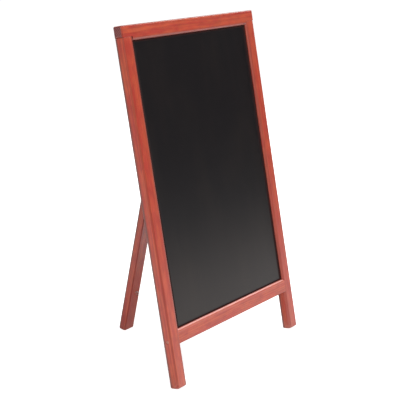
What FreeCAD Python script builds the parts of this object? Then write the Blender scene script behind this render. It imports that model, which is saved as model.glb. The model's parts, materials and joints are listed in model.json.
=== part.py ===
"""Single-sided sandwich board: a framed chalkboard held up by one hinged strut behind it.

Millimetres. +X is the viewer's right, +Y runs from the writing side to the back, +Z is up.
The origin is on the floor, in the middle of the open board's footprint.

The front frame and the strut are each drawn upright, with x = 0 at the middle, y = 0 on the
face turned to the front and z = 0 at the square-cut foot, and then leaned into place.
"""
import FreeCAD, Part
import math
import os

Vector = FreeCAD.Vector

# ---- driving dimensions -------------------------------------------------------------------
FRAME_WIDTH = 550.0        # over the two stiles
FRAME_LENGTH = 850.0       # along the slope, foot to top of the top rail
FRAME_DEPTH = 24.0         # thickness of the frame's timber
STILE_WIDTH = 36.0
FRONT_TILT = 10.5          # degrees the front frame leans back
OPEN_ANGLE = 22.6          # degrees between the frame and the open strut

TOP_RAIL_END = 27.0        # height of the top rail where it sits on the stiles
TOP_RAIL_HEIGHT = 36.0     # its height between the stiles
TOP_RAIL_OVERHANG = 1.5    # past each stile
BOTTOM_RAIL_BASE = 101.0   # foot to the bottom rail, along the stile
BOTTOM_RAIL_HEIGHT = 35.0

INNER_ROUND = 6.0          # large round along the edges that frame the board
FRONT_ARRIS_ROUND = 5.0    # round along each stile's outer front edge
OUTER_ROUND = 3.0          # round on every other long edge
END_ROUND = 4.0            # round at the cut ends of the timber
JOINT_ROUND = 1.0          # broken edge where a stile meets the top rail
COPE_REACH = 4.5           # how far the bottom rail's front laps over each stile's large round
COPE_EASE = 0.2            # the cope's round is this much tighter, so that only its edges touch
FLOOR_FLAT = 2.0           # how much of each foot's low corner is planed off to sit flat

PANEL_RECESS = 6.5         # frame's front face to the board's face
PANEL_THICKNESS = 4.0
GROOVE_DEPTH = 8.0
GROOVE_PLAY = 0.15         # on each side of the panel
PANEL_EDGE_PLAY = 0.5      # between the panel's edge and the bottom of its groove

STRUT_WIDTH = 38.0
STRUT_DEPTH = 21.0

PIN_BELOW_TOP = 9.0        # hinge pin to the top of the frame, along the slope
HINGE_LENGTH = 32.0        # along the pin
LEAF_DROP = 18.0           # hinge pin to the leaf's lower edge
LEAF_THICKNESS = 1.2
KNUCKLE_RADIUS = 2.5
PIN_RADIUS = 1.25
PIN_CLEARANCE = 0.05
KNUCKLE_GAP = 0.3
BARREL_GAP = 0.3           # barrel to the wood behind it
PIN_HEAD_RADIUS = 2.1
PIN_HEAD_THICKNESS = 0.8
STRUT_TOP_GAP = 1.5        # barrel to the strut's top end

FASTENER_PLAY = 0.05       # around each screw and dowel in its hole
HINGE_SCREW = {"length": 14.0, "radius": 1.5, "head": 3.0, "sink": 1.7}
HINGE_SCREW_SPREAD = 9.0   # each side of the middle
HINGE_SCREW_DROP = 11.0    # below the pin
RAIL_SCREW = {"length": 60.0, "radius": 2.0, "head": 3.4, "sink": 2.4}
RAIL_SCREW_HEIGHT = 12.0   # above the bottom rail's lower edge
RAIL_SCREW_RECESS = 1.3    # the head sits this far below the stile's side

DOWEL_RADIUS = 3.0
TOP_DOWEL_LENGTH = 36.0
TOP_DOWEL_IN_RAIL = 16.0
TOP_DOWEL_PLACES = (9.0, 20.0)   # from the stile's outer side
RAIL_DOWEL_LENGTH = 30.0
RAIL_DOWEL_HEIGHT = 21.5   # above the bottom rail's lower edge

EYE_WIRE = 1.0             # radius of the screw eye's wire
EYE_RING = 4.0             # radius of the ring, to the middle of the wire
EYE_STANDOFF = 5.5         # wood to the ring's centre
EYE_SHANK = 13.0           # length in the wood
STRUT_EYE_HEIGHT = 110.0   # above the strut's foot
RAIL_EYE_HEIGHT = 21.0     # above the bottom rail's lower edge

# ---- places worked out from them ------------------------------------------------------------
STILE_LENGTH = FRAME_LENGTH - TOP_RAIL_END
INNER_HALF = FRAME_WIDTH / 2 - STILE_WIDTH
TOP_RAIL_BASE = FRAME_LENGTH - TOP_RAIL_HEIGHT
GROOVE_FRONT = PANEL_RECESS - GROOVE_PLAY
GROOVE_BACK = PANEL_RECESS + PANEL_THICKNESS + GROOVE_PLAY
PANEL_BOTTOM = BOTTOM_RAIL_BASE + BOTTOM_RAIL_HEIGHT - GROOVE_DEPTH + PANEL_EDGE_PLAY
PANEL_TOP = TOP_RAIL_BASE + GROOVE_DEPTH - PANEL_EDGE_PLAY
STRUT_TILT = OPEN_ANGLE - FRONT_TILT
FOOT_DROP = FRAME_DEPTH * math.sin(math.radians(FRONT_TILT))
FRAME_LIFT = FOOT_DROP - FLOOR_FLAT
PIN_OFFSET = KNUCKLE_RADIUS + BARREL_GAP    # pin to the wood, and to the back of a leaf
PIN_Y = FRAME_DEPTH + PIN_OFFSET
PIN_Z = FRAME_LENGTH - PIN_BELOW_TOP
PIN_WORLD_Y = PIN_Y * math.cos(math.radians(FRONT_TILT)) + PIN_Z * math.sin(math.radians(FRONT_TILT))
PIN_WORLD_Z = (PIN_Z * math.cos(math.radians(FRONT_TILT))
               - PIN_Y * math.sin(math.radians(FRONT_TILT)) + FRAME_LIFT)
STRUT_PIN_Z = ((PIN_WORLD_Z + FLOOR_FLAT + PIN_OFFSET * math.sin(math.radians(STRUT_TILT)))
               / math.cos(math.radians(STRUT_TILT)))
STRUT_LENGTH = STRUT_PIN_Z - KNUCKLE_RADIUS - STRUT_TOP_GAP


# ---- small helpers ------------------------------------------------------------------------
def block(x_low, x_high, y_low, y_high, z_low, z_high):
    """Box between two corners."""
    corner = Vector(x_low, y_low, z_low)
    return Part.makeBox(x_high - x_low, y_high - y_low, z_high - z_low, corner)


def round_edges(shape, radius, x=None, y=None, z=None):
    """Round every edge whose ends all lie at the places given, such as x=10 and z=0."""
    edges = []
    for edge in shape.Edges:
        ends = [vertex.Point for vertex in edge.Vertexes]
        on_place = [(x is None or abs(p.x - x) < 0.01) and (y is None or abs(p.y - y) < 0.01)
                    and (z is None or abs(p.z - z) < 0.01) for p in ends]
        if all(on_place):
            edges.append(edge)
    return shape.makeFillet(radius, edges)


def flip_x(shape):
    """The same piece on the other side of the middle."""
    return shape.mirror(Vector(0, 0, 0), Vector(1, 0, 0))


def lean_frame(shape):
    """Lean a front-frame piece back about its foot line and stand it on the floor."""
    leaned = shape.copy()
    leaned.rotate(Vector(0, 0, 0), Vector(1, 0, 0), -FRONT_TILT)
    leaned.translate(Vector(0, 0, FRAME_LIFT))
    return leaned


def lean_strut(shape):
    """Hang a strut piece on the hinge pin at the open angle."""
    leaned = shape.copy()
    leaned.translate(Vector(0, PIN_OFFSET, -STRUT_PIN_Z))
    leaned.rotate(Vector(0, 0, 0), Vector(1, 0, 0), STRUT_TILT)
    leaned.translate(Vector(0, PIN_WORLD_Y, PIN_WORLD_Z))
    return leaned


def plane_foot(shape):
    """Plane the low corner of a leaned leg flat to the floor."""
    reach = FRAME_LENGTH
    return shape.cut(block(-reach, reach, -reach, reach, -reach, 0.0))


# ---- fasteners, drawn pointing along +Y with the head at y = 0 ------------------------------
def countersunk_screw(length, radius, head, sink, play=0.0):
    """Countersunk wood screw with a drive cross; play > 0 gives its hole instead."""
    tip = 2.0 * radius
    shank = Part.makeCylinder(radius + play, length - tip, Vector(0, 0, 0), Vector(0, 1, 0))
    point = Part.makeCone(radius + play, 0.3, tip, Vector(0, length - tip, 0), Vector(0, 1, 0))
    cone = Part.makeCone(head + play, radius + play, sink, Vector(0, 0, 0), Vector(0, 1, 0))
    screw = shank.fuse([point, cone]).removeSplitter()
    if play > 0.0:
        return screw
    arm = 0.55 * head
    slot = 0.14 * head
    depth = 0.45 * sink
    for cross in (block(-arm, arm, -1.0, depth, -slot, slot), block(-slot, slot, -1.0, depth, -arm, arm)):
        screw = screw.cut(cross)
    return screw


def screw_eye():
    """Ring on a threaded shank that points along +Y; y = 0 is the wood's surface."""
    ring = Part.makeTorus(EYE_RING, EYE_WIRE, Vector(0, -EYE_STANDOFF, 0), Vector(1, 0, 0))
    neck = EYE_STANDOFF - EYE_RING
    shank = Part.makeCylinder(EYE_WIRE, neck + EYE_SHANK - EYE_WIRE, Vector(0, -neck, 0), Vector(0, 1, 0))
    point = Part.makeCone(EYE_WIRE, 0.2, 2.0 * EYE_WIRE, Vector(0, EYE_SHANK - EYE_WIRE, 0), Vector(0, 1, 0))
    return ring.fuse([shank, point]).removeSplitter()


def screw_eye_hole():
    length = EYE_SHANK + EYE_WIRE + 1.0
    return Part.makeCylinder(EYE_WIRE + FASTENER_PLAY, length, Vector(0, 0, 0), Vector(0, 1, 0))


def dowel(length, start, direction, play=0.0):
    """Plain round dowel; play > 0 gives its hole, a little deeper at both ends."""
    direction = Vector(direction)
    base = Vector(start) - direction * (10.0 * play)
    pin = Part.makeCylinder(DOWEL_RADIUS + play, length + 20.0 * play, base, direction)
    if play > 0.0:
        return pin
    return pin.makeChamfer(0.8, [edge for edge in pin.Edges if edge.Closed])


# ---- where the fasteners go -----------------------------------------------------------------
def top_dowels(play=0.0):
    """The two dowels between the left stile's end and the top rail."""
    base = STILE_LENGTH - (TOP_DOWEL_LENGTH - TOP_DOWEL_IN_RAIL)
    pins = []
    for inset in TOP_DOWEL_PLACES:
        start = (-FRAME_WIDTH / 2 + inset, FRAME_DEPTH / 2, base)
        pins.append(dowel(TOP_DOWEL_LENGTH, start, (0, 0, 1), play))
    return pins


def rail_dowel(play=0.0):
    """The hidden dowel between the left stile and the bottom rail's end."""
    start = (-INNER_HALF - RAIL_DOWEL_LENGTH / 2, FRAME_DEPTH / 2, BOTTOM_RAIL_BASE + RAIL_DOWEL_HEIGHT)
    return dowel(RAIL_DOWEL_LENGTH, start, (1, 0, 0), play)


def rail_screw(play=0.0):
    """The screw through the left stile's side into the bottom rail's end."""
    screw = countersunk_screw(**RAIL_SCREW, play=play)
    screw.rotate(Vector(0, 0, 0), Vector(0, 0, 1), -90)
    inset = -FRAME_WIDTH / 2 + RAIL_SCREW_RECESS
    screw.translate(Vector(inset, FRAME_DEPTH / 2, BOTTOM_RAIL_BASE + RAIL_SCREW_HEIGHT))
    return screw


def rail_screw_mouth():
    """The open mouth of the countersink above the recessed screw head."""
    radius = RAIL_SCREW["head"] + FASTENER_PLAY
    base = Vector(-FRAME_WIDTH / 2 - 0.01, FRAME_DEPTH / 2, BOTTOM_RAIL_BASE + RAIL_SCREW_HEIGHT)
    return Part.makeCone(radius + RAIL_SCREW_RECESS, radius, RAIL_SCREW_RECESS + 0.01, base, Vector(1, 0, 0))


def hinge_screws(play=0.0):
    """The two screws of one hinge leaf, around a pin at y = z = 0, driven along +Y."""
    screws = []
    for side in (-1, 1):
        screw = countersunk_screw(**HINGE_SCREW, play=play)
        screw.translate(Vector(side * HINGE_SCREW_SPREAD, 0, -HINGE_SCREW_DROP))
        screws.append(screw)
    return screws


def to_frame_leaf(shape):
    """Turn a hinge piece drawn facing +Y so that it screws forward into the top rail."""
    turned = shape.copy()
    turned.rotate(Vector(0, 0, 0), Vector(0, 0, 1), 180)
    turned.translate(Vector(0, PIN_Y, PIN_Z))
    return turned


def to_strut_leaf(shape):
    """Put a hinge piece drawn facing +Y on the strut's front face."""
    moved = shape.copy()
    moved.translate(Vector(0, -PIN_OFFSET, STRUT_PIN_Z))
    return moved


def screws_at_leaf(screws):
    """Slide screws from the pin's plane to the open side of a leaf."""
    moved = [screw.copy() for screw in screws]
    for screw in moved:
        screw.translate(Vector(0, PIN_OFFSET - LEAF_THICKNESS, 0))
    return moved


def to_rail_eye(shape):
    """Put a piece drawn pointing along +Y into the back of the bottom rail."""
    turned = shape.copy()
    turned.rotate(Vector(0, 0, 0), Vector(0, 0, 1), 180)
    turned.translate(Vector(0, FRAME_DEPTH, BOTTOM_RAIL_BASE + RAIL_EYE_HEIGHT))
    return turned


def to_strut_eye(shape):
    """Put a piece drawn pointing along +Y into the strut's front face."""
    moved = shape.copy()
    moved.translate(Vector(0, 0, STRUT_EYE_HEIGHT))
    return moved


# ---- front frame, drawn upright ---------------------------------------------------------------
def left_stile():
    """Left stile, which runs on below the bottom rail as the front leg."""
    outer = -FRAME_WIDTH / 2
    bar = block(outer, -INNER_HALF, 0, FRAME_DEPTH, 0, STILE_LENGTH)
    bar = round_edges(bar, INNER_ROUND, x=-INNER_HALF, y=0)
    bar = round_edges(bar, FRONT_ARRIS_ROUND, x=outer, y=0)
    for x in (outer, -INNER_HALF):
        bar = round_edges(bar, OUTER_ROUND, x=x, y=FRAME_DEPTH)
    bar = round_edges(bar, END_ROUND, z=0)
    bar = round_edges(bar, JOINT_ROUND, z=STILE_LENGTH)
    groove = block(-INNER_HALF - GROOVE_DEPTH, -INNER_HALF + 1, GROOVE_FRONT, GROOVE_BACK,
                   PANEL_BOTTOM - PANEL_EDGE_PLAY, STILE_LENGTH + 1)
    holes = top_dowels(FASTENER_PLAY) + [rail_dowel(FASTENER_PLAY), rail_screw(FASTENER_PLAY)]
    return bar.cut([groove, rail_screw_mouth()] + holes)


def top_rail():
    """Top rail, full height between the stiles and rebated at its ends to sit on them."""
    end = FRAME_WIDTH / 2 + TOP_RAIL_OVERHANG
    cap = block(-end, end, 0, FRAME_DEPTH, STILE_LENGTH, FRAME_LENGTH)
    for y in (0, FRAME_DEPTH):
        cap = round_edges(cap, OUTER_ROUND, y=y, z=FRAME_LENGTH)
    for x in (-end, end):
        cap = round_edges(cap, END_ROUND, x=x)
    web = block(-INNER_HALF, INNER_HALF, 0, FRAME_DEPTH, TOP_RAIL_BASE, STILE_LENGTH)
    web = round_edges(web, INNER_ROUND, y=0, z=TOP_RAIL_BASE)
    web = round_edges(web, OUTER_ROUND, y=FRAME_DEPTH, z=TOP_RAIL_BASE)
    rail = cap.fuse(web).removeSplitter()
    groove = block(-INNER_HALF - 1, INNER_HALF + 1, GROOVE_FRONT, GROOVE_BACK,
                   TOP_RAIL_BASE - 1, TOP_RAIL_BASE + GROOVE_DEPTH)
    left_holes = top_dowels(FASTENER_PLAY)
    right_holes = [flip_x(hole) for hole in left_holes]
    leaf_holes = [to_frame_leaf(hole) for hole in screws_at_leaf(hinge_screws(FASTENER_PLAY))]
    return rail.cut([groove] + left_holes + right_holes + leaf_holes)


def bottom_rail():
    """Bottom rail between the stiles, its ends coped over their large rounds."""
    top = BOTTOM_RAIL_BASE + BOTTOM_RAIL_HEIGHT
    end = INNER_HALF + COPE_REACH
    rail = block(-end, end, 0, FRAME_DEPTH, BOTTOM_RAIL_BASE, top)
    rail = round_edges(rail, INNER_ROUND, y=0, z=top)
    rail = round_edges(rail, OUTER_ROUND, y=FRAME_DEPTH, z=top)
    for y in (0, FRAME_DEPTH):
        rail = round_edges(rail, OUTER_ROUND, y=y, z=BOTTOM_RAIL_BASE)
    groove = block(-INNER_HALF - 1, INNER_HALF + 1, GROOVE_FRONT, GROOVE_BACK, top - GROOVE_DEPTH, top + 1)
    cope = block(-FRAME_WIDTH / 2, -INNER_HALF, 0, FRAME_DEPTH, BOTTOM_RAIL_BASE - 1, top + 1)
    cope = round_edges(cope, INNER_ROUND - COPE_EASE, x=-INNER_HALF, y=0)
    left_cuts = [cope, rail_dowel(FASTENER_PLAY), rail_screw(FASTENER_PLAY)]
    right_cuts = [flip_x(cut) for cut in left_cuts]
    return rail.cut([groove, to_rail_eye(screw_eye_hole())] + left_cuts + right_cuts)


def chalkboard_panel():
    """Coated board held in the grooves of the stiles and rails."""
    half = INNER_HALF + GROOVE_DEPTH - PANEL_EDGE_PLAY
    back = PANEL_RECESS + PANEL_THICKNESS
    return block(-half, half, PANEL_RECESS, back, PANEL_BOTTOM, PANEL_TOP)


# ---- strut, drawn upright ----------------------------------------------------------------------
def rear_strut():
    """The single leg behind the board, its top end just below the hinge barrel."""
    half = STRUT_WIDTH / 2
    bar = block(-half, half, 0, STRUT_DEPTH, 0, STRUT_LENGTH)
    for x in (-half, half):
        for y in (0, STRUT_DEPTH):
            bar = round_edges(bar, OUTER_ROUND, x=x, y=y)
    for z in (0, STRUT_LENGTH):
        bar = round_edges(bar, END_ROUND, z=z)
    leaf_holes = [to_strut_leaf(hole) for hole in screws_at_leaf(hinge_screws(FASTENER_PLAY))]
    return bar.cut([to_strut_eye(screw_eye_hole())] + leaf_holes)


# ---- butt hinge, drawn around its pin with the leaf on the +Y side -------------------------------
def knuckle_spans():
    """The barrel in three knuckles: two on the frame's leaf, the middle one on the strut's."""
    third = HINGE_LENGTH / 3
    half = HINGE_LENGTH / 2
    return {
        "frame": [(-half, -half + third - KNUCKLE_GAP / 2), (half - third + KNUCKLE_GAP / 2, half)],
        "strut": [(-half + third + KNUCKLE_GAP / 2, half - third - KNUCKLE_GAP / 2)],
    }


def hinge_leaf(side):
    """One leaf with its knuckles: a plate that hangs from the barrel, against the wood."""
    spans = knuckle_spans()
    other = "strut" if side == "frame" else "frame"
    half = HINGE_LENGTH / 2
    leaf = block(-half, half, PIN_OFFSET - LEAF_THICKNESS, PIN_OFFSET, -LEAF_DROP, 0)
    leaf = round_edges(leaf, 2.0, x=-half, z=-LEAF_DROP)
    leaf = round_edges(leaf, 2.0, x=half, z=-LEAF_DROP)
    for low, high in spans[side]:
        barrel = Part.makeCylinder(KNUCKLE_RADIUS, high - low, Vector(low, 0, 0), Vector(1, 0, 0))
        leaf = leaf.fuse(barrel)
    room = KNUCKLE_RADIUS + KNUCKLE_GAP
    for low, high in spans[other]:
        notch = block(low - KNUCKLE_GAP, high + KNUCKLE_GAP, -room, room + 1, -room, room)
        leaf = leaf.cut(notch)
    bore = Part.makeCylinder(PIN_RADIUS + PIN_CLEARANCE, HINGE_LENGTH + 2, Vector(-half - 1, 0, 0),
                             Vector(1, 0, 0))
    return leaf.removeSplitter().cut([bore] + screws_at_leaf(hinge_screws(FASTENER_PLAY)))


def hinge_pin():
    """Pin with a button head just outside each end of the barrel."""
    half = HINGE_LENGTH / 2 + PIN_CLEARANCE
    pin = Part.makeCylinder(PIN_RADIUS, 2 * half, Vector(-half, 0, 0), Vector(1, 0, 0))
    for side in (-1, 1):
        head = Part.makeCylinder(PIN_HEAD_RADIUS, PIN_HEAD_THICKNESS, Vector(side * half, 0, 0),
                                 Vector(side, 0, 0))
        head = round_edges(head, 0.4, x=side * (half + PIN_HEAD_THICKNESS))
        pin = pin.fuse(head)
    return pin.removeSplitter()


# ---- the whole board ------------------------------------------------------------------------------
def build():
    """Every piece in place, by name."""
    leaf_screws = screws_at_leaf(hinge_screws())
    upright_frame = {
        "left_stile": left_stile(),
        "right_stile": flip_x(left_stile()),
        "top_rail": top_rail(),
        "bottom_rail": bottom_rail(),
        "chalkboard_panel": chalkboard_panel(),
        "left_top_dowels": Part.makeCompound(top_dowels()),
        "right_top_dowels": Part.makeCompound([flip_x(pin) for pin in top_dowels()]),
        "left_rail_dowel": rail_dowel(),
        "right_rail_dowel": flip_x(rail_dowel()),
        "left_rail_screw": rail_screw(),
        "right_rail_screw": flip_x(rail_screw()),
        "rail_screw_eye": to_rail_eye(screw_eye()),
        "hinge_frame_leaf": to_frame_leaf(hinge_leaf("frame")),
        "hinge_frame_screws": Part.makeCompound([to_frame_leaf(screw) for screw in leaf_screws]),
        "hinge_pin": to_frame_leaf(hinge_pin()),
    }
    upright_strut = {
        "rear_strut": rear_strut(),
        "hinge_strut_leaf": to_strut_leaf(hinge_leaf("strut")),
        "hinge_strut_screws": Part.makeCompound([to_strut_leaf(screw) for screw in leaf_screws]),
        "strut_screw_eye": to_strut_eye(screw_eye()),
    }
    pieces = {name: lean_frame(shape) for name, shape in upright_frame.items()}
    pieces.update({name: lean_strut(shape) for name, shape in upright_strut.items()})
    for leg in ("left_stile", "right_stile", "rear_strut"):
        pieces[leg] = plane_foot(pieces[leg])
    return pieces


def centre_on_footprint(pieces):
    """Move everything along Y so that the origin is in the middle of the open board."""
    boxes = [shape.optimalBoundingBox(False, False) for shape in pieces.values()]
    middle = (min(box.YMin for box in boxes) + max(box.YMax for box in boxes)) / 2
    for shape in pieces.values():
        shape.translate(Vector(0, -middle, 0))
    return middle


def main():
    os.makedirs("parts", exist_ok=True)
    pieces = build()
    middle = centre_on_footprint(pieces)
    for name, shape in pieces.items():
        shape.exportStep("parts/" + name + ".step")
        print(name, "valid" if shape.isValid() else "NOT VALID", len(shape.Solids), round(shape.Volume, 1))
    print("hinge pin at y", round(PIN_WORLD_Y - middle, 4), "z", round(PIN_WORLD_Z, 4))
    print("strut length", round(STRUT_LENGTH, 2), "strut tilt", round(STRUT_TILT, 2), "middle", round(middle, 3))


main()
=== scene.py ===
"""Looks of the sandwich board: stained timber, a coated writing panel and small steel hardware.

Metres, in the same frame as the CAD. Each bar of timber is drawn in its own frame, with the
grain along its local z, so that one wood shader serves all five.
"""
import bmesh
import bpy
import json
import math
from mathutils import Matrix, Vector, noise


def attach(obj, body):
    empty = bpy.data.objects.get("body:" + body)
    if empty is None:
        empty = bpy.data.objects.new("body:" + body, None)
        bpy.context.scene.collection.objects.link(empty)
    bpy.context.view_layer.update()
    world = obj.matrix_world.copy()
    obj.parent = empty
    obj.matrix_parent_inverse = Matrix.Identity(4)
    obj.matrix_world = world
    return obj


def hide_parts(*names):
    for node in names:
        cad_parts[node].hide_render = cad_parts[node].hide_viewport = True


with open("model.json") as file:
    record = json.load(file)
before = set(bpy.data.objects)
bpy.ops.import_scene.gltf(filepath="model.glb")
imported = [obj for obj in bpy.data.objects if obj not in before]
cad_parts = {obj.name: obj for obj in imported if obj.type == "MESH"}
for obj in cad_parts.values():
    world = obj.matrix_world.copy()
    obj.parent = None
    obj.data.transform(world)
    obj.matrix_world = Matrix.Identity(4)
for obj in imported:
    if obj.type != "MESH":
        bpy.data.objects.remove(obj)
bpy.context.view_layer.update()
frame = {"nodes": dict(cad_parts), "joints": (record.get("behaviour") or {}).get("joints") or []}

MM = 0.001

# ---- the board's layout, as in the CAD ------------------------------------------------------
FRONT_TILT = math.radians(10.5)
OPEN_ANGLE = math.radians(22.6)
STRUT_TILT = OPEN_ANGLE - FRONT_TILT
FRAME_WIDTH = 550 * MM
FRAME_LENGTH = 850 * MM
FRAME_DEPTH = 24 * MM
STILE_WIDTH = 36 * MM
TOP_RAIL_HEIGHT = 36 * MM
BOTTOM_RAIL_BASE = 101 * MM
BOTTOM_RAIL_HEIGHT = 35 * MM
STRUT_WIDTH = 38 * MM
STRUT_DEPTH = 21 * MM
STRUT_LENGTH = 841.8 * MM
PIN_OFFSET = 2.8 * MM           # hinge pin to the wood on each side of it
PIN_BELOW_TOP = 9 * MM
STRUT_END_BELOW_PIN = 4 * MM
EYE_RING = 4 * MM
EYE_WIRE = 1 * MM
EYE_STANDOFF = 5.5 * MM
EYE_SHANK = 13 * MM
STRUT_EYE_HEIGHT = 110 * MM
RAIL_EYE_HEIGHT = 21 * MM       # above the bottom rail's lower edge

# ---- mesh detail ----------------------------------------------------------------------------
TIMBER_GRID = 6 * MM
PANEL_GRID = 12 * MM
PANEL_BOW = 0.9 * MM
SANDING = 0.22 * MM             # most that hand sanding takes off a rounding
SANDING_WAVE = 30 * MM
MERGE_DISTANCE = 1e-6
FLAT_ANGLE = math.radians(0.5)  # faces closer than this to one plane are joined up
SHARP_ANGLE = math.radians(32)
WIRE_SIDES = 14
RING_STEPS = 32

PIN = Vector(frame["joints"][0]["pos_m"])


def leaned_frame(angle, pin_in_frame):
    """Frame that leans by angle about x and holds the hinge pin at the given local point."""
    turn = Matrix.Rotation(angle, 4, "X")
    return Matrix.Translation(PIN) @ turn @ Matrix.Translation(-Vector(pin_in_frame))


FRONT = leaned_frame(-FRONT_TILT, (0, FRAME_DEPTH + PIN_OFFSET, FRAME_LENGTH - PIN_BELOW_TOP))
STRUT = leaned_frame(STRUT_TILT, (0, -PIN_OFFSET, STRUT_LENGTH + STRUT_END_BELOW_PIN))
UPRIGHT = Matrix.Identity(4)
ALONG_X = Matrix(((0, 0, 1, 0), (0, 1, 0, 0), (-1, 0, 0, 0), (0, 0, 0, 1)))


# ---- shader building ------------------------------------------------------------------------
SOCKET_NAMES = {"colour": "Base Color", "roughness": "Roughness", "normal": "Normal", "metallic": "Metallic",
                "ior": "IOR", "coat": "Coat Weight", "coat_roughness": "Coat Roughness",
                "specular": "Specular IOR Level"}


class Shader:
    """A material and short ways to add nodes to it. Inputs may be sockets or plain values.

    home is the matrix of the frame that the pattern is laid out in.
    """

    def __init__(self, name, home=Matrix.Identity(4)):
        self.home = home
        self.material = bpy.data.materials.new(name)
        self.material.use_nodes = True
        self.tree = self.material.node_tree
        self.surface = self.tree.nodes["Principled BSDF"]

    def node(self, kind, inputs, **settings):
        made = self.tree.nodes.new("ShaderNode" + kind)
        for key, value in settings.items():
            setattr(made, key, value)
        for key, value in inputs.items():
            self.feed(made.inputs[key], value)
        return made

    def feed(self, socket, value):
        if isinstance(value, bpy.types.NodeSocket):
            self.tree.links.new(value, socket)
        else:
            socket.default_value = value

    def place(self, scale, shift=(0, 0, 0)):
        """Coordinates in the home frame, divided by the size in millimetres given for each axis."""
        point = self.node("TexCoord", {}).outputs["Object"]
        inputs = {"Vector": point, "Location": self.home.to_translation(),
                  "Rotation": self.home.to_euler(), "Scale": (MM, MM, MM)}
        local = self.node("Mapping", inputs, vector_type="TEXTURE").outputs[0]
        sizes = [1 / size for size in scale]
        return self.node("Mapping", {"Vector": local, "Scale": sizes, "Location": shift}).outputs[0]

    def normal(self):
        """The surface normal in the home frame."""
        inputs = {"Vector": self.node("TexCoord", {}).outputs["Normal"], "Rotation": self.home.to_euler()}
        return self.node("Mapping", inputs, vector_type="TEXTURE").outputs[0]

    def split(self, vector):
        return self.node("SeparateXYZ", {"Vector": vector}).outputs

    def math(self, operation, a, b=0.0):
        return self.node("Math", {0: a, 1: b}, operation=operation).outputs[0]

    def noise(self, vector, detail=3.0, roughness=0.5, distortion=0.0):
        inputs = {"Vector": vector, "Scale": 1.0, "Detail": detail, "Roughness": roughness,
                  "Distortion": distortion}
        return self.node("TexNoise", inputs).outputs["Fac"]

    def span(self, value, low, high, to_low=0.0, to_high=1.0):
        """Smooth step from to_low to to_high as value goes from low to high."""
        inputs = {"Value": value, "From Min": low, "From Max": high, "To Min": to_low,
                  "To Max": to_high}
        return self.node("MapRange", inputs, interpolation_type="SMOOTHSTEP").outputs["Result"]

    def mix(self, factor, a, b, blend="MIX"):
        made = self.node("Mix", {}, data_type="RGBA", blend_type=blend)
        for index, value in ((0, factor), (6, a), (7, b)):
            self.feed(made.inputs[index], value)
        return made.outputs[2]

    def bump(self, height, distance):
        return self.node("Bump", {"Height": height, "Distance": distance, "Strength": 1.0}).outputs[0]

    def finish(self, **inputs):
        """Feeds the surface: colour, roughness and normal by node, the rest as plain numbers."""
        for key, value in inputs.items():
            self.feed(self.surface.inputs[SOCKET_NAMES[key]], value)
        return self.material


def tone(red, green, blue):
    """Colour given in display values of 0 to 255, as the shader's linear values."""
    linear = [((c / 255 + 0.055) / 1.055) ** 2.4 if c > 10.3 else c / 255 / 12.92
              for c in (red, green, blue)]
    return (*linear, 1.0)


STAIN_RED = tone(180, 50, 35)
STAIN_ORANGE = tone(196, 79, 45)
STAIN_DARK = tone(138, 34, 25)
STAIN_LIGHT = tone(210, 94, 60)
ROUNDING_SHADE_TONE = tone(140, 48, 28)       # painted shade on the roundings
STAIN_GRIMY = tone(110, 64, 56)        # dirt and old stain along the back edges
STAIN_PORE = tone(92, 24, 20)
HANDLED_SHEEN_TONE = tone(146, 64, 52)      # greyed by chalk and hands along the board's edges, with the roundings' sheen painted in
WIPED_HIGHLIGHT_TONE = tone(218, 128, 112)     # paled where the chalk is wiped off, with a painted highlight on the rail's top rounding
STAIN_SCUFFED = tone(186, 132, 112)
END_DARK = tone(84, 30, 32)
END_RED = tone(124, 54, 50)
END_RING = tone(160, 92, 88)
RING_SPACING = 4.6                     # growth rings and their wander, in millimetres
RING_WANDER = 26.0


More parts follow.
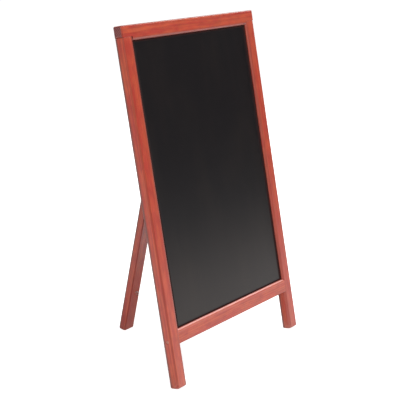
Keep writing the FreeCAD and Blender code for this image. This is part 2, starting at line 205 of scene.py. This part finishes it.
# ---- materials -----------------------------------------------------------------------------
def stained_wood(name, home, shift, half, pith, inner, worn, wear, reach, end_grain, foot):
    """Red-brown stain under satin varnish, on a softwood bar sawn at the given place from the pith.

    All sizes are in millimetres, half being half the bar's width. inner is the side of x, +1 or -1,
    that frames the board, or 0 where none does. Over the reach given, its front edge turns towards
    worn by wear: greyed by handling, with the roundings' sheen painted in.
    Every other rounding takes painted shade. end_grain is how far the cut ends have soaked up the
    stain, and foot how scuffed the end at z = 0 is.
    """
    s = Shader(name, home)
    x, y, z = s.split(s.place((1, 1, 1)))
    wander = s.noise(s.place((70, 70, 520), shift), detail=2.0)
    flow = s.math("MULTIPLY", s.math("SUBTRACT", wander, 0.5), RING_WANDER)
    across = s.math("ADD", s.math("SUBTRACT", x, pith[0]), flow)
    deep = s.math("SUBTRACT", y, pith[1])
    squares = s.math("ADD", s.math("MULTIPLY", across, across), s.math("MULTIPLY", deep, deep))
    ring = s.math("FRACT", s.math("DIVIDE", s.math("SQRT", squares), RING_SPACING))
    late = s.math("MULTIPLY", s.span(ring, 0.30, 0.88), s.span(ring, 0.92, 1.0, 1.0, 0.0))

    fibre = s.noise(s.place((0.9, 0.9, 60), shift), detail=5.0, roughness=0.6)
    streak = s.noise(s.place((5, 5, 190), shift), detail=4.0, distortion=0.2)
    blotch = s.noise(s.place((14, 14, 42), shift), detail=4.0, roughness=0.6, distortion=0.5)
    pore = s.span(s.noise(s.place((0.4, 0.4, 8), shift), detail=2.0), 0.60, 0.74)

    tint = s.math("ADD", s.math("MULTIPLY", streak, 0.5), s.math("MULTIPLY", blotch, 0.5))
    hue = s.span(tint, 0.41, 0.58)
    colour = s.mix(hue, STAIN_RED, STAIN_ORANGE)
    colour = s.mix(s.math("MULTIPLY", late, 0.34), colour, STAIN_DARK)
    colour = s.mix(s.span(fibre, 0.35, 0.7, 0.0, 0.20), colour, STAIN_LIGHT)
    colour = s.mix(s.math("MULTIPLY", pore, 0.45), colour, STAIN_PORE)
    cloud = s.span(s.noise(s.place((14, 14, 34), (9, 2, 5)), detail=3.0), 0.3, 0.7, 0.92, 1.08)
    grey = s.node("CombineColor", {0: cloud, 1: cloud, 2: cloud}).outputs[0]
    colour = s.mix(1.0, colour, grey, "MULTIPLY")

    facing = s.split(s.normal())
    nx, ny, nz = [s.math("ABSOLUTE", part) for part in facing]
    arris = s.span(s.math("MAXIMUM", s.math("MAXIMUM", nx, ny), nz), 0.995, 0.90)
    near_edge = s.span(s.math("MULTIPLY", x, inner), half - reach, half - 0.3 * reach)
    framing = s.math("MULTIPLY", s.span(facing[1], 0.1, -0.2), near_edge)
    # Paler band on the front of the board's edge, greyed by handling, with the roundings' sheen painted in.
    edge_sheen_and_wear = s.math("MULTIPLY", framing, s.span(streak, 0.35, 0.65, 0.6 * wear, wear))
    colour = s.mix(edge_sheen_and_wear, colour, worn)
    # Painted shade: the other roundings are darkened to the colour they show in shade.
    rounding_shade = s.math("MULTIPLY", arris, s.math("SUBTRACT", 1.0, framing))
    colour = s.mix(s.math("MULTIPLY", rounding_shade, 0.65), colour, ROUNDING_SHADE_TONE)
    grimy = s.math("MULTIPLY", s.span(y, 3.0, 8.5), s.span(facing[1], 0.85, 0.6))
    colour = s.mix(s.math("MULTIPLY", grimy, 0.85), colour, STAIN_GRIMY)

    end = s.math("MULTIPLY", s.span(nz, 0.72, 0.93), end_grain)
    mottle = s.noise(s.place((1.2, 1.2, 8), shift), detail=4.0, roughness=0.65)
    end_colour = s.mix(s.span(mottle, 0.35, 0.65), END_DARK, END_RED)
    end_colour = s.mix(s.math("MULTIPLY", late, 0.65), end_colour, END_RING)
    colour = s.mix(end, colour, end_colour)

    scrapes = s.span(s.noise(s.place((3, 3, 6), shift), detail=5.0), 0.42, 0.62)
    scuff = s.math("MULTIPLY", s.math("MULTIPLY", s.span(z, 30.0, 1.0), scrapes), foot)
    colour = s.mix(scuff, colour, STAIN_SCUFFED)

    grain_height = s.math("ADD", s.math("MULTIPLY", fibre, 0.6), s.math("MULTIPLY", late, -0.35))
    grain_height = s.math("SUBTRACT", grain_height, s.math("MULTIPLY", pore, 0.8))
    roughness = s.math("ADD", s.span(fibre, 0.3, 0.7, 0.42, 0.52), s.math("MULTIPLY", end, 0.2))
    roughness = s.math("ADD", roughness, s.math("MULTIPLY", s.math("MAXIMUM", scuff, rounding_shade), 0.25))
    return s.finish(colour=colour, roughness=roughness, normal=s.bump(grain_height, 0.08 * MM),
                    ior=1.5, coat=0.6, coat_roughness=0.28)


def chalkboard_coating():
    """Satin black coating with wiped chalk haze on the front, paler low down with painted reflection, and a
    painted shadow of the frame along its edges; bare brown hardboard behind.
    """
    s = Shader("chalkboard", FRONT)
    x, y, z = s.split(s.place((1, 1, 1)))
    half = (FRAME_WIDTH / 2 - STILE_WIDTH) / MM
    low = (BOTTOM_RAIL_BASE + BOTTOM_RAIL_HEIGHT) / MM
    high = (FRAME_LENGTH - TOP_RAIL_HEIGHT) / MM
    from_side = s.math("SUBTRACT", half, s.math("ABSOLUTE", x))
    from_end = s.math("MINIMUM", s.math("SUBTRACT", z, low), s.math("SUBTRACT", high, z))
    from_edge = s.math("MINIMUM", from_side, from_end)

    smear = s.noise(s.place((42, 40, 260)), detail=3.0, distortion=0.8)
    cloud = s.noise(s.place((120, 40, 150), (4, 1, 7)), detail=2.0, distortion=0.5)
    wipe = s.noise(s.place((3.2, 20, 120)), detail=4.0, roughness=0.6, distortion=0.3)
    grit = s.noise(s.place((0.6, 0.6, 0.6)), detail=2.0)
    # Chalk settled low, with a painted brighter reflection towards the bottom of the board.
    dust_and_glow = s.math("MULTIPLY", s.span(z, 420, 150), 0.024)
    haze = s.math("ADD", s.span(smear, 0.42, 0.75, 0.0, 0.5), s.span(cloud, 0.42, 0.75, 0.0, 0.5))
    haze = s.math("MULTIPLY", haze, s.span(wipe, 0.3, 0.7, 0.4, 1.0))
    haze = s.math("ADD", s.math("MULTIPLY", haze, 0.014), dust_and_glow)
    haze = s.math("MULTIPLY", haze, s.span(from_edge, 4.0, 9.0))
    front_colour = s.mix(haze, tone(24, 21, 23), tone(176, 146, 122))
    # Painted shadow and reflection of the frame, a dark maroon band along the board's edges.
    frame_shadow = s.span(s.math("MINIMUM", s.math("MULTIPLY", from_side, 0.5), from_end), 5.5, 3.5)
    front_colour = s.mix(frame_shadow, front_colour, tone(40, 8, 5))

    weave = s.node("TexVoronoi", {"Vector": s.place((1.3, 1.3, 1.3)), "Scale": 1.0}).outputs["Distance"]
    pulp = s.noise(s.place((9, 9, 9)), detail=5.0, roughness=0.65)
    back_colour = s.mix(s.span(pulp, 0.3, 0.7), tone(92, 62, 42), tone(124, 88, 62))
    back_colour = s.mix(s.math("MULTIPLY", s.span(weave, 0.2, 0.6), 0.3), back_colour, tone(66, 42, 28))

    behind = s.span(s.split(s.normal())[1], -0.6, -0.2)
    colour = s.mix(behind, front_colour, back_colour)
    front_rough = s.math("ADD", s.span(wipe, 0.3, 0.7, 0.28, 0.31), s.math("MULTIPLY", frame_shadow, 0.6))
    roughness = s.math("ADD", front_rough, s.math("MULTIPLY", behind, 0.35))
    mesh_marks = s.math("MULTIPLY", s.math("MULTIPLY", weave, behind), 1.5)
    height = s.math("ADD", s.math("MULTIPLY", grit, 0.15), mesh_marks)
    return s.finish(colour=colour, roughness=roughness, normal=s.bump(height, 0.06 * MM), ior=1.5,
                    specular=0.33)


def bare_wood():
    """Beech dowels, with fine short flecks."""
    s = Shader("plain_wood")
    fleck = s.noise(s.place((1.2, 1.2, 6)), detail=4.0, roughness=0.6)
    colour = s.mix(s.span(fleck, 0.35, 0.65), tone(196, 160, 118), tone(224, 194, 152))
    return s.finish(colour=colour, roughness=s.span(fleck, 0.3, 0.7, 0.55, 0.7),
                    normal=s.bump(fleck, 0.06 * MM), ior=1.45)


def stained_screw():
    """Screw head that the stain was wiped over together with the stile around it."""
    s = Shader("stained_screw")
    wiped = s.noise(s.place((1.4, 1.4, 1.4)), detail=3.0, roughness=0.6)
    colour = s.mix(s.span(wiped, 0.35, 0.65), tone(214, 152, 134), tone(168, 96, 80))
    return s.finish(colour=colour, metallic=0.7, roughness=s.span(wiped, 0.3, 0.7, 0.32, 0.5),
                    normal=s.bump(wiped, 0.03 * MM))


def zinc_steel():
    """Zinc-plated steel: bright grey, dulled in patches, with fine brushed streaks."""
    s = Shader("zinc_steel")
    patch = s.noise(s.place((4, 4, 4)), detail=4.0, roughness=0.6, distortion=0.5)
    brush = s.noise(s.place((6, 0.25, 0.25)), detail=2.0)
    colour = s.mix(s.span(patch, 0.35, 0.7), tone(202, 198, 194), tone(150, 144, 140))
    roughness = s.math("ADD", s.span(patch, 0.35, 0.7, 0.22, 0.42), s.math("MULTIPLY", brush, 0.08))
    return s.finish(colour=colour, metallic=1.0, roughness=roughness, normal=s.bump(brush, 0.02 * MM))


# ---- timber --------------------------------------------------------------------------------
def cut_grid(bm, steps):
    """Cuts a mesh by planes across x, y and z, a step apart. An axis whose step is 0 stays uncut."""
    for axis, step in enumerate(steps):
        if not step:
            continue
        places = [v.co[axis] for v in bm.verts]
        first = math.ceil(min(places) / step + 0.25)
        last = math.floor(max(places) / step - 0.25)
        direction = Vector([float(i == axis) for i in range(3)])
        for index in range(first, last + 1):
            everything = bm.verts[:] + bm.edges[:] + bm.faces[:]
            bmesh.ops.bisect_plane(bm, geom=everything, dist=MERGE_DISTANCE,
                                   plane_co=direction * (index * step), plane_no=direction)


def local_copy(node, place, steps):
    """A CAD node's mesh in its own frame, its flat faces joined up and cut into a grid."""
    bm = bmesh.new()
    bm.from_mesh(frame["nodes"][node].data)
    bmesh.ops.remove_doubles(bm, verts=bm.verts, dist=MERGE_DISTANCE)
    bmesh.ops.transform(bm, matrix=place.inverted(), verts=bm.verts)
    bmesh.ops.dissolve_limit(bm, angle_limit=FLAT_ANGLE, verts=bm.verts, edges=bm.edges)
    cut_grid(bm, steps)
    return bm


def piece_from(bm, name, place, body, node, material):
    """Turns a finished bmesh into a piece that rides on its body in place of a CAD node."""
    bmesh.ops.triangulate(bm, faces=[face for face in bm.faces if len(face.verts) > 4])
    bmesh.ops.transform(bm, matrix=place, verts=bm.verts)
    mesh = bpy.data.meshes.new(name)
    bm.to_mesh(mesh)
    bm.free()
    mesh.shade_smooth()
    mesh.set_sharp_from_angle(angle=SHARP_ANGLE)
    mesh.materials.append(material)
    piece = bpy.data.objects.new(name, mesh)
    bpy.context.scene.collection.objects.link(piece)
    weighted = piece.modifiers.new("flat faces", "WEIGHTED_NORMAL")
    weighted.keep_sharp = True
    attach(piece, body)
    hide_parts(node)
    return piece


def sand(bm, seed):
    """Hand-sanded roundings: each point goes in by an uneven depth, and the flats stay flat."""
    bm.normal_update()
    moves = []
    for vert in bm.verts:
        n = vert.normal
        flat = max(abs(n.x), abs(n.y), abs(n.z))
        rounding = min(1.0, (1.0 - flat) / 0.2)
        at = vert.co / SANDING_WAVE
        wave = noise.noise(Vector((at.x, at.y, at.z * 0.6 + seed * 7.3))) * 0.5 + 0.5
        moves.append((vert, n * (-SANDING * wave * rounding)))
    for vert, move in moves:
        vert.co += move


def bar(node, home, middle, turn, body, width, seed, **look):
    """One bar of timber, its middle line through the given point of the leaned frame.

    look holds what stained_wood asks for beyond the bar's place and width.
    """
    place = home @ Matrix.Translation(middle) @ turn
    bm = local_copy(node, place, (TIMBER_GRID, TIMBER_GRID, TIMBER_GRID))
    sand(bm, seed)
    shift = (seed * 3.7, seed * 1.9, seed * 5.3)
    material = stained_wood(node + "_wood", place, shift, width / 2 / MM, **look)
    return piece_from(bm, node + "_bar", place, body, node, material)


def make_timber():
    stile_x = FRAME_WIDTH / 2 - STILE_WIDTH / 2
    half_depth = FRAME_DEPTH / 2
    rail_z = BOTTOM_RAIL_BASE + BOTTOM_RAIL_HEIGHT / 2
    top_z = FRAME_LENGTH - TOP_RAIL_HEIGHT / 2
    bar("left_stile", FRONT, (-stile_x, half_depth, 0), UPRIGHT, "front_frame", STILE_WIDTH, 1,
        pith=(30, -26), inner=1, worn=HANDLED_SHEEN_TONE, wear=0.9, reach=11, end_grain=0.6, foot=0.4)
    bar("right_stile", FRONT, (stile_x, half_depth, 0), UPRIGHT, "front_frame", STILE_WIDTH, 2,
        pith=(-34, -22), inner=-1, worn=HANDLED_SHEEN_TONE, wear=0.7, reach=11, end_grain=0.6, foot=0.4)
    bar("top_rail", FRONT, (0, half_depth, top_z), ALONG_X, "front_frame", TOP_RAIL_HEIGHT, 3,
        pith=(10, 22), inner=1, worn=HANDLED_SHEEN_TONE, wear=0.8, reach=10, end_grain=1.0, foot=0.0)
    bar("bottom_rail", FRONT, (0, half_depth, rail_z), ALONG_X, "front_frame", BOTTOM_RAIL_HEIGHT, 4,
        pith=(-28, -30), inner=-1, worn=WIPED_HIGHLIGHT_TONE, wear=0.45, reach=12, end_grain=0.0, foot=0.0)
    bar("rear_strut", STRUT, (0, STRUT_DEPTH / 2, 0), UPRIGHT, "strut", STRUT_WIDTH, 5,
        pith=(-30, 30), inner=0, worn=HANDLED_SHEEN_TONE, wear=0.0, reach=9, end_grain=0.6, foot=0.4)


# ---- the other pieces ------------------------------------------------------------------------
def make_panel(material):
    """The writing panel, bowed a hair backwards between its grooves."""
    half = FRAME_WIDTH / 2 - STILE_WIDTH
    low = BOTTOM_RAIL_BASE + BOTTOM_RAIL_HEIGHT
    high = FRAME_LENGTH - TOP_RAIL_HEIGHT
    bm = local_copy("chalkboard_panel", FRONT, (PANEL_GRID, 0, PANEL_GRID))
    for vert in bm.verts:
        side = max(0.0, 1 - (vert.co.x / half) ** 2)
        up = (vert.co.z - low) / (high - low)
        vert.co.y += PANEL_BOW * side * max(0.0, 4 * up * (1 - up))
    return piece_from(bm, "writing_panel", FRONT, "front_frame", "chalkboard_panel", material)


def bent_wire(bm, path, radius):
    """Round wire along a path in the plane x = 0, with domed ends."""
    last = len(path) - 1
    rings = []
    for index, point in enumerate(path):
        ahead = path[min(index + 1, last)] - path[max(index - 1, 0)]
        across = Vector((0, ahead.z, -ahead.y)).normalized()
        size = radius * (0.55 if index in (0, last) else 1.0)
        ring = []
        for step in range(WIRE_SIDES):
            angle = math.tau * step / WIRE_SIDES
            round_x = Vector((size * math.cos(angle), 0, 0))
            ring.append(bm.verts.new(point + round_x + across * size * math.sin(angle)))
        rings.append(ring)
    for low, high in zip(rings, rings[1:]):
        for step in range(WIRE_SIDES):
            after = (step + 1) % WIRE_SIDES
            bm.faces.new((low[step], low[after], high[after], high[step]))
    bm.faces.new(rings[0][::-1])
    bm.faces.new(rings[-1])
    bmesh.ops.recalc_face_normals(bm, faces=bm.faces)


def screw_eye(node, place, body, material):
    """Screw eye bent from one length of wire, its ring left open beside the neck.

    The shank runs along y into the wood, and the ring stands in front of the face at y = 0.
    """
    start, end = math.radians(38), math.radians(322)
    path = [Vector((0, EYE_SHANK, 0)), Vector((0, EYE_SHANK - 0.6 * MM, 0))]
    path += [Vector((0, y * MM, 0)) for y in (8, 4, 1)]
    path += [Vector((0, -0.1 * MM, 0.25 * MM)), Vector((0, -1.1 * MM, 1.1 * MM))]
    for step in range(RING_STEPS + 1):
        angle = start + (end - start) * step / RING_STEPS
        path.append(Vector((0, EYE_RING * math.cos(angle) - EYE_STANDOFF, EYE_RING * math.sin(angle))))
    tail = (path[-1] - path[-2]).normalized()
    path.append(path[-1] + tail * 0.4 * MM)
    bm = bmesh.new()
    bent_wire(bm, path, EYE_WIRE * 0.98)
    return piece_from(bm, node + "_wire", place, body, node, material)


def make_screw_eyes(material):
    rail_back = FRONT @ Matrix.Translation((0, FRAME_DEPTH, BOTTOM_RAIL_BASE + RAIL_EYE_HEIGHT))
    screw_eye("rail_screw_eye", rail_back @ Matrix.Rotation(math.pi, 4, "Z"), "front_frame", material)
    screw_eye("strut_screw_eye", STRUT @ Matrix.Translation((0, 0, STRUT_EYE_HEIGHT)), "strut", material)


def paint_hardware(material):
    for node in ("hinge_frame_leaf", "hinge_strut_leaf", "hinge_pin",
                 "hinge_frame_screws", "hinge_strut_screws"):
        dress(node, material)


def dress(node, material):
    mesh = frame["nodes"][node].data
    mesh.materials.clear()
    mesh.materials.append(material)


# ---- studio ----------------------------------------------------------------------------------
FLOOR_HALF = 30.0
FLOOR_DROP = 0.0005             # floor below the feet, so that the faces don't coincide
SOFT_LIGHTS = (                 # name, place, aim, width, height, watts
    ("overhead", (-0.6, -1.4, 3.4), (0, 0, 0.4), 3.0, 2.4, 88),
    ("front_left", (-3.4, -2.2, 2.4), (0, 0, 0.3), 2.0, 2.0, 49),
    ("left_screen", (-3.2, 2.7, 1.0), (0, 0, 0.5), 3.0, 1.9, 8),
    ("right", (3.4, -0.5, 2.7), (0, 0, 0.4), 1.6, 1.6, 75),
    ("back", (1.2, 3.4, 2.6), (0, 0, 0.4), 2.0, 2.0, 34),
)
CAMERA_PLACE = (-2.40847, -1.72126, 1.08352)
CAMERA_DOWN = math.radians(13.42)
CAMERA_HEADING = math.radians(-55.42)
CAMERA_LENS = 108.24


def make_floor():
    """Pale paper that glows softly, least of all in the shade under the strut."""
    mesh = bpy.data.meshes.new("floor")
    corners = [(x * FLOOR_HALF, y * FLOOR_HALF, 0) for x, y in ((-1, -1), (1, -1), (1, 1), (-1, 1))]
    mesh.from_pydata(corners, [], [(0, 1, 2, 3)])
    floor = bpy.data.objects.new("floor", mesh)
    bpy.context.scene.collection.objects.link(floor)
    s = Shader("floor_paper")
    s.finish(colour=(0.86, 0.86, 0.86, 1.0), roughness=0.9)
    s.surface.inputs["Emission Color"].default_value = (1, 1, 1, 1)
    point = s.node("TexCoord", {}).outputs["Object"]
    far = s.node("VectorMath", {0: point}, operation="LENGTH").outputs["Value"]
    x, y, _ = s.split(point)
    under = s.math("MULTIPLY", s.span(s.math("ABSOLUTE", x), 0.5, 0.28), s.span(y, -0.28, -0.08))
    bounced = s.math("MULTIPLY", s.span(far, 1.8, 5.0, 0.44, 0.03), s.span(under, 0.0, 1.0, 1.0, 0.12))
    shown = s.span(far, 0.5, 3.0, 0.78, 1.0)
    seen = s.node("LightPath", {}).outputs["Is Camera Ray"]
    s.feed(s.surface.inputs["Emission Strength"], s.span(seen, 0.0, 1.0, bounced, shown))
    mesh.materials.append(s.material)
    floor.location.z = -FLOOR_DROP


def soft_light(name, place, aim, width, height, power):
    data = bpy.data.lights.new(name, "AREA")
    data.shape = "RECTANGLE"
    data.size = width
    data.size_y = height
    data.energy = power
    lamp = bpy.data.objects.new(name, data)
    lamp.location = place
    lamp.rotation_euler = (Vector(aim) - Vector(place)).to_track_quat("-Z", "Y").to_euler()
    bpy.context.scene.collection.objects.link(lamp)


def make_light():
    """Soft lights in a dark room, whose wall is white only where the camera sees it."""
    for light in SOFT_LIGHTS:
        soft_light(*light)
    world = bpy.data.worlds.new("studio")
    bpy.context.scene.world = world
    world.use_nodes = True
    nodes, links = world.node_tree.nodes, world.node_tree.links
    room = nodes["Background"]
    room.inputs["Color"].default_value = (1, 1, 1, 1)
    room.inputs["Strength"].default_value = 0.05
    seen = nodes.new("ShaderNodeBackground")
    seen.inputs["Color"].default_value = (1, 1, 1, 1)
    seen.inputs["Strength"].default_value = 1.0
    path = nodes.new("ShaderNodeLightPath")
    both = nodes.new("ShaderNodeMixShader")
    links.new(path.outputs["Is Camera Ray"], both.inputs[0])
    links.new(room.outputs[0], both.inputs[1])
    links.new(seen.outputs[0], both.inputs[2])
    links.new(both.outputs[0], nodes["World Output"].inputs["Surface"])
    bpy.context.scene.view_settings.view_transform = "Standard"


def make_camera():
    """Camera at the viewing angle: in front, well to the left, a little above the board."""
    data = bpy.data.cameras.new("camera")
    data.sensor_width = 36
    data.lens = CAMERA_LENS
    camera = bpy.data.objects.new("camera", data)
    camera.location = CAMERA_PLACE
    camera.rotation_euler = (math.radians(90) - CAMERA_DOWN, 0, CAMERA_HEADING)
    bpy.context.scene.collection.objects.link(camera)
    bpy.context.scene.camera = camera


make_timber()
make_panel(chalkboard_coating())
zinc = zinc_steel()
make_screw_eyes(zinc)
paint_hardware(zinc)
for screw_node in ("left_rail_screw", "right_rail_screw"):
    dress(screw_node, stained_screw())
beech = bare_wood()
for dowel_node in ("left_top_dowels", "right_top_dowels", "left_rail_dowel", "right_rail_dowel"):
    dress(dowel_node, beech)
make_floor()
make_light()
make_camera()
